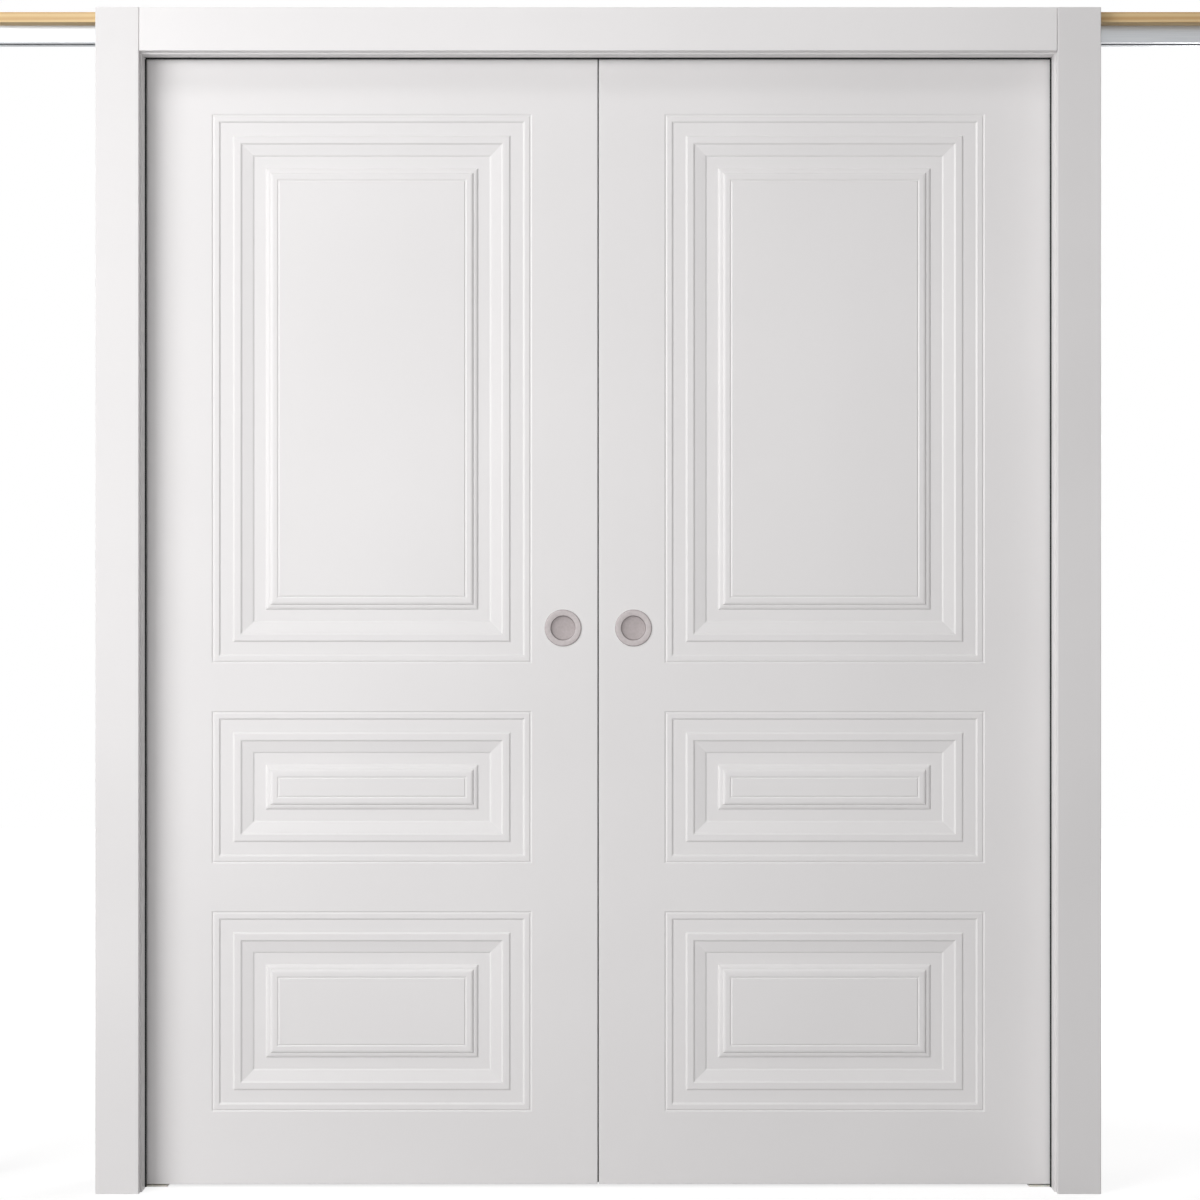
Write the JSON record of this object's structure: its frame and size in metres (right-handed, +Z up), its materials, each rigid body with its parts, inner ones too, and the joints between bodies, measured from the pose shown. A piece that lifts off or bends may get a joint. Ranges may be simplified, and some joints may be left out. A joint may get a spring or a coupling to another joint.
{
  "type": "double pocket door",
  "caption": "White double pocket door: two panelled leaves on rollers in a slotted track, with jambs, casings, flush pulls and open pocket frame.",
  "frame": {"origin": "on the floor under the middle of the doorway", "axes": "+X along the wall to the right, -Y towards the room in front, +Z up"},
  "size_m": [3.064, 0.148, 2.098],
  "materials": {
    "enamelled_mdf": "satin white enamel",
    "enamelled_timber": "satin white enamel",
    "black_pile": "woven pile",
    "black_rubber": "matt",
    "satin_nickel": "satin plated",
    "spruce": "planed",
    "anodised_aluminium": "anodised",
    "nylon": "moulded",
    "cast_zinc": "cast",
    "galvanised_steel": "galvanised",
    "zinc_plated_steel": "zinc plated"
  },
  "bodies": {
    "frame": {"front_left_casing": "enamelled_timber", "front_right_casing": "enamelled_timber", "front_head_casing": "enamelled_timber", "front_left_jamb": "enamelled_timber", "front_right_jamb": "enamelled_timber", "front_head_jamb": "enamelled_timber", "front_jamb_seal": "black_pile", "back_left_casing": "enamelled_timber", "back_right_casing": "enamelled_timber", "back_head_casing": "enamelled_timber", "back_left_jamb": "enamelled_timber", "back_right_jamb": "enamelled_timber", "back_head_jamb": "enamelled_timber", "back_jamb_seal": "black_pile", "header_board": "spruce", "head_nailers": "spruce", "header_track": "anodised_aluminium", "header_screws": "zinc_plated_steel", "centre_stop": "anodised_aluminium", "end_stops": "anodised_aluminium", "stop_bumpers": "black_rubber", "left_mouth_studs": "galvanised_steel", "left_mid_studs": "galvanised_steel", "left_floor_plates": "galvanised_steel", "left_floor_guide": "nylon", "left_end_bracket": "galvanised_steel", "right_mouth_studs": "galvanised_steel", "right_mid_studs": "galvanised_steel", "right_floor_plates": "galvanised_steel", "right_floor_guide": "nylon", "right_end_bracket": "galvanised_steel"},
    "left_leaf": {"left_leaf": "enamelled_mdf", "left_meeting_seal": "black_rubber", "left_front_pull": "satin_nickel", "left_back_pull": "satin_nickel", "left_hanger_plates": "zinc_plated_steel", "left_plate_screws": "zinc_plated_steel", "left_hanger_bolts": "zinc_plated_steel", "left_lead_trolley": "cast_zinc", "left_trail_trolley": "cast_zinc", "left_axle_pins": "zinc_plated_steel"},
    "right_leaf": {"right_leaf": "enamelled_mdf", "right_meeting_seal": "black_rubber", "right_front_pull": "satin_nickel", "right_back_pull": "satin_nickel", "right_hanger_plates": "zinc_plated_steel", "right_plate_screws": "zinc_plated_steel", "right_hanger_bolts": "zinc_plated_steel", "right_lead_trolley": "cast_zinc", "right_trail_trolley": "cast_zinc", "right_axle_pins": "zinc_plated_steel"},
    "left_wheel_pair_1": {"left_wheel_pair_1": "nylon"},
    "left_wheel_pair_2": {"left_wheel_pair_2": "nylon"},
    "left_wheel_pair_3": {"left_wheel_pair_3": "nylon"},
    "left_wheel_pair_4": {"left_wheel_pair_4": "nylon"},
    "right_wheel_pair_1": {"right_wheel_pair_1": "nylon"},
    "right_wheel_pair_2": {"right_wheel_pair_2": "nylon"},
    "right_wheel_pair_3": {"right_wheel_pair_3": "nylon"},
    "right_wheel_pair_4": {"right_wheel_pair_4": "nylon"}
  },
  "joints": [
    {"name": "left_leaf_slide", "type": "slide", "parent": "frame", "child": "left_leaf", "axis": [-1, 0, 0], "range_m": [0, 0.7]},
    {"name": "right_leaf_slide", "type": "slide", "parent": "frame", "child": "right_leaf", "axis": [1, 0, 0], "range_m": [0, 0.7]},
    {"name": "left_wheel_pair_1_roll", "type": "hinge", "parent": "left_leaf", "child": "left_wheel_pair_1", "pos_m": [-0.041, 0, 2.0608], "axis": [0, 1, 0], "continuous": true},
    {"name": "left_wheel_pair_2_roll", "type": "hinge", "parent": "left_leaf", "child": "left_wheel_pair_2", "pos_m": [-0.081, 0, 2.0608], "axis": [0, 1, 0], "continuous": true},
    {"name": "left_wheel_pair_3_roll", "type": "hinge", "parent": "left_leaf", "child": "left_wheel_pair_3", "pos_m": [-0.734, 0, 2.0608], "axis": [0, 1, 0], "continuous": true},
    {"name": "left_wheel_pair_4_roll", "type": "hinge", "parent": "left_leaf", "child": "left_wheel_pair_4", "pos_m": [-0.774, 0, 2.0608], "axis": [0, 1, 0], "continuous": true},
    {"name": "right_wheel_pair_1_roll", "type": "hinge", "parent": "right_leaf", "child": "right_wheel_pair_1", "pos_m": [0.041, 0, 2.0608], "axis": [0, 1, 0], "continuous": true},
    {"name": "right_wheel_pair_2_roll", "type": "hinge", "parent": "right_leaf", "child": "right_wheel_pair_2", "pos_m": [0.081, 0, 2.0608], "axis": [0, 1, 0], "continuous": true},
    {"name": "right_wheel_pair_3_roll", "type": "hinge", "parent": "right_leaf", "child": "right_wheel_pair_3", "pos_m": [0.734, 0, 2.0608], "axis": [0, 1, 0], "continuous": true},
    {"name": "right_wheel_pair_4_roll", "type": "hinge", "parent": "right_leaf", "child": "right_wheel_pair_4", "pos_m": [0.774, 0, 2.0608], "axis": [0, 1, 0], "continuous": true}
  ],
  "couplings": [
    {"joint": "left_wheel_pair_1_roll", "follows": "left_leaf_slide", "rad_per_m": -100},
    {"joint": "left_wheel_pair_2_roll", "follows": "left_leaf_slide", "rad_per_m": -100},
    {"joint": "left_wheel_pair_3_roll", "follows": "left_leaf_slide", "rad_per_m": -100},
    {"joint": "left_wheel_pair_4_roll", "follows": "left_leaf_slide", "rad_per_m": -100},
    {"joint": "right_wheel_pair_1_roll", "follows": "right_leaf_slide", "rad_per_m": 100},
    {"joint": "right_wheel_pair_2_roll", "follows": "right_leaf_slide", "rad_per_m": 100},
    {"joint": "right_wheel_pair_3_roll", "follows": "right_leaf_slide", "rad_per_m": 100},
    {"joint": "right_wheel_pair_4_roll", "follows": "right_leaf_slide", "rad_per_m": 100}
  ]
}
